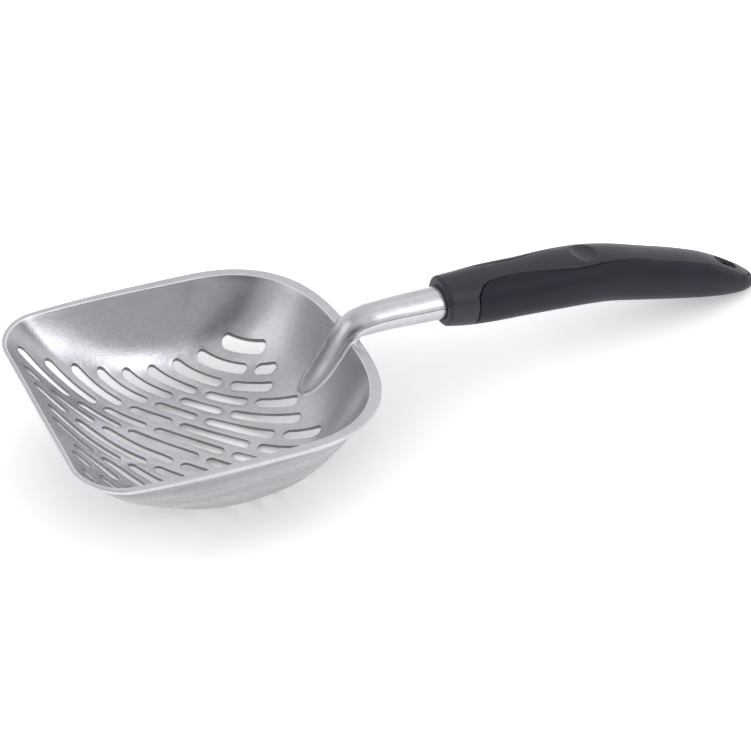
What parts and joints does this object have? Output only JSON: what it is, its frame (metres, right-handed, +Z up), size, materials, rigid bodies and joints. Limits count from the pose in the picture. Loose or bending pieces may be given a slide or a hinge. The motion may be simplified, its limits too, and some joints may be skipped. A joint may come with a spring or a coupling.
{
  "type": "sifting scoop",
  "caption": "Hand scoop with a slotted cast aluminium bowl and a dark contoured grip, for lifting loose granules and sifting out the fines.",
  "frame": {"origin": "middle of the bounding box's base, on the table the scoop rests on", "axes": "+X from the scoop's lip to the tail of its grip, +Y across it, +Z up from the table"},
  "size_m": [0.3704, 0.13, 0.0548],
  "materials": {
    "cast_aluminium": "satin, tumbled and lightly brushed",
    "hard_plastic": "satin moulded",
    "soft_plastic": "soft-touch moulded"
  },
  "bodies": {
    "root": {"scoop_casting": "cast_aluminium", "grip_upper_shell": "hard_plastic", "grip_lower_sleeve": "soft_plastic"}
  },
  "joints": []
}
